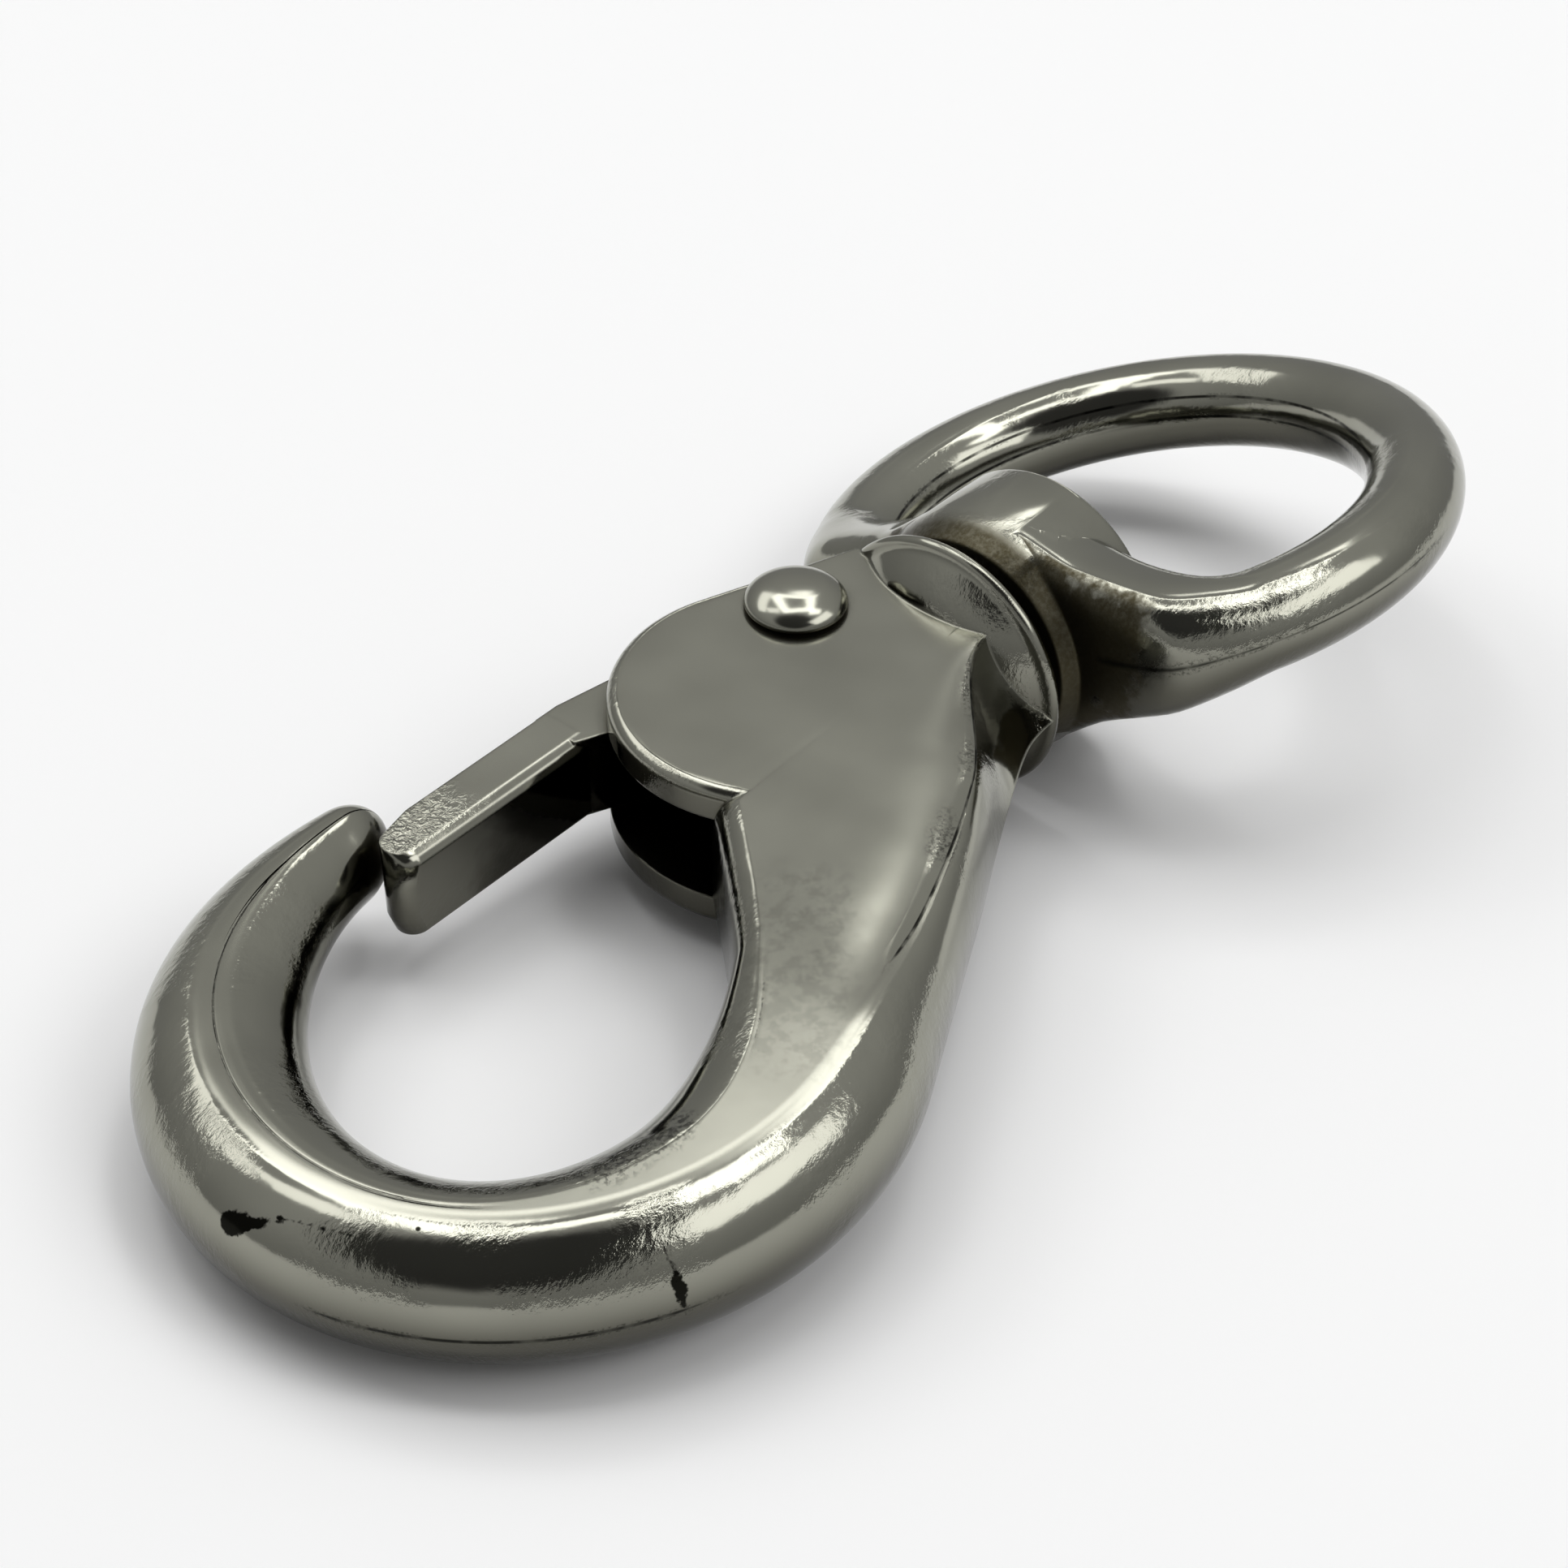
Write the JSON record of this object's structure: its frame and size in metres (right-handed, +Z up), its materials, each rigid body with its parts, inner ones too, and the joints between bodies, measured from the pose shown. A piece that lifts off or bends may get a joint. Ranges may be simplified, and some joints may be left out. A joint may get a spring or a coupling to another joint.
{
  "type": "swivel snap hook",
  "caption": "Nickel-plated cast snap hook with a wide round-sectioned bow, a sprung riveted gate that closes on the tip, and a round eye that swivels on a stud.",
  "frame": {"origin": "centre of the box's footprint, on the surface the snap lies on", "axes": "+X along the snap towards the swivel eye, +Y towards the gate side, +Z up from the surface, close to square to the flat cheeks"},
  "size_m": [0.1166, 0.0518, 0.0214],
  "materials": {
    "nickel_casting": "polished nickel plate over a slightly wavy casting",
    "nickel_rivet": "polished nickel plate",
    "spring_steel": "bright spring wire",
    "stud_steel": "nickel-plated steel, worn"
  },
  "bodies": {
    "hook": {"hook_body": "nickel_casting", "gate_rivet": "nickel_rivet", "gate_spring": "spring_steel", "swivel_stud": "stud_steel"},
    "gate": {"gate": "nickel_casting"},
    "eye": {"swivel_eye": "nickel_casting"}
  },
  "joints": [
    {"name": "gate_pivot", "type": "hinge", "parent": "hook", "child": "gate", "pos_m": [0.00443, 0.00951, 0.0092], "axis": [-0.0697, 0, 0.9976], "range_deg": [0, 30], "stiffness_Nm_per_rad": 0.08, "springref_deg": -85.94, "deforming": ["gate_spring"]},
    {"name": "eye_swivel", "type": "hinge", "parent": "hook", "child": "eye", "pos_m": [0.01859, 0.00241, 0.01019], "axis": [0.9976, 0, 0.0697], "continuous": true}
  ]
}
